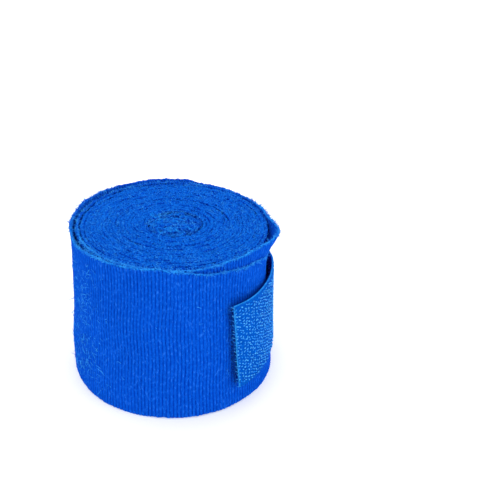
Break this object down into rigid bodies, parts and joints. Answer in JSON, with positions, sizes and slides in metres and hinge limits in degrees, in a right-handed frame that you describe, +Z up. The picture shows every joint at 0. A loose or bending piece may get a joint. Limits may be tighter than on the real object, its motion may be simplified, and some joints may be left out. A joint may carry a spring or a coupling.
{
  "type": "hand wrap",
  "caption": "Elastic boxing hand wrap rolled up for storage, standing on its end, with a sewn thumb loop in its core and a hook-tape tab that holds the roll closed.",
  "frame": {"origin": "on the roll's axis, in the flat end that it stands on", "axes": "+Z up along the roll's axis, -Y towards the front of the roll, +X to its right, where the tab lies"},
  "size_m": [0.0648, 0.0643, 0.05],
  "materials": {
    "band_knit": "ribbed elastic knit",
    "hook_tape": "woven nylon tape",
    "hooks": "stiff nylon hooks",
    "loop_tape": "woven tape",
    "thread": "polyester thread"
  },
  "bodies": {
    "roll": {"band_inner_turns": "band_knit", "band_outer_turn": "band_knit", "thumb_loop": "loop_tape", "thumb_loop_bartack": "thread"},
    "tail_1": {"tail_section_1": "band_knit"},
    "tail_2": {"tail_section_2": "band_knit"},
    "tail_3": {"tail_section_3": "band_knit"},
    "tail_4": {"tail_hem_end": "band_knit", "hook_tape_root": "hook_tape", "box_stitching": "thread"},
    "tab_1": {"hook_tape_section_1": "hook_tape", "hook_pile_1": "hooks"},
    "tab_2": {"hook_tape_section_2": "hook_tape", "hook_pile_2": "hooks"},
    "tab_3": {"hook_tape_section_3": "hook_tape", "hook_pile_3": "hooks"}
  },
  "joints": [
    {"name": "tail_unwind", "type": "hinge", "parent": "roll", "child": "tail_1", "pos_m": [-0.01738, 0.02677, 0.02], "axis": [0, 0, 1], "range_deg": [0, 27]},
    {"name": "tail_flex_2", "type": "hinge", "parent": "tail_1", "child": "tail_2", "pos_m": [-0.00452, 0.03216, 0.02], "axis": [0, 0, 1], "range_deg": [0, 27]},
    {"name": "tail_flex_3", "type": "hinge", "parent": "tail_2", "child": "tail_3", "pos_m": [0.00977, 0.03197, 0.02], "axis": [0, 0, 1], "range_deg": [0, 27]},
    {"name": "tail_flex_4", "type": "hinge", "parent": "tail_3", "child": "tail_4", "pos_m": [0.02273, 0.02525, 0.02], "axis": [0, 0, 1], "range_deg": [0, 27]},
    {"name": "tab_peel", "type": "hinge", "parent": "tail_4", "child": "tab_1", "pos_m": [0.03123, 0.00721, 0.02], "axis": [0, 0, 1], "range_deg": [0, 35]},
    {"name": "tab_flex_2", "type": "hinge", "parent": "tab_1", "child": "tab_2", "pos_m": [0.03241, -0.00513, 0.02], "axis": [0, 0, 1], "range_deg": [0, 35]},
    {"name": "tab_flex_3", "type": "hinge", "parent": "tab_2", "child": "tab_3", "pos_m": [0.02755, -0.01789, 0.02], "axis": [0, 0, 1], "range_deg": [0, 35]}
  ],
  "couplings": [
    {"joint": "tail_flex_2", "follows": "tail_unwind", "ratio": 1},
    {"joint": "tail_flex_3", "follows": "tail_unwind", "ratio": 1},
    {"joint": "tail_flex_4", "follows": "tail_unwind", "ratio": 1},
    {"joint": "tab_flex_2", "follows": "tab_peel", "ratio": 1},
    {"joint": "tab_flex_3", "follows": "tab_peel", "ratio": 1}
  ]
}
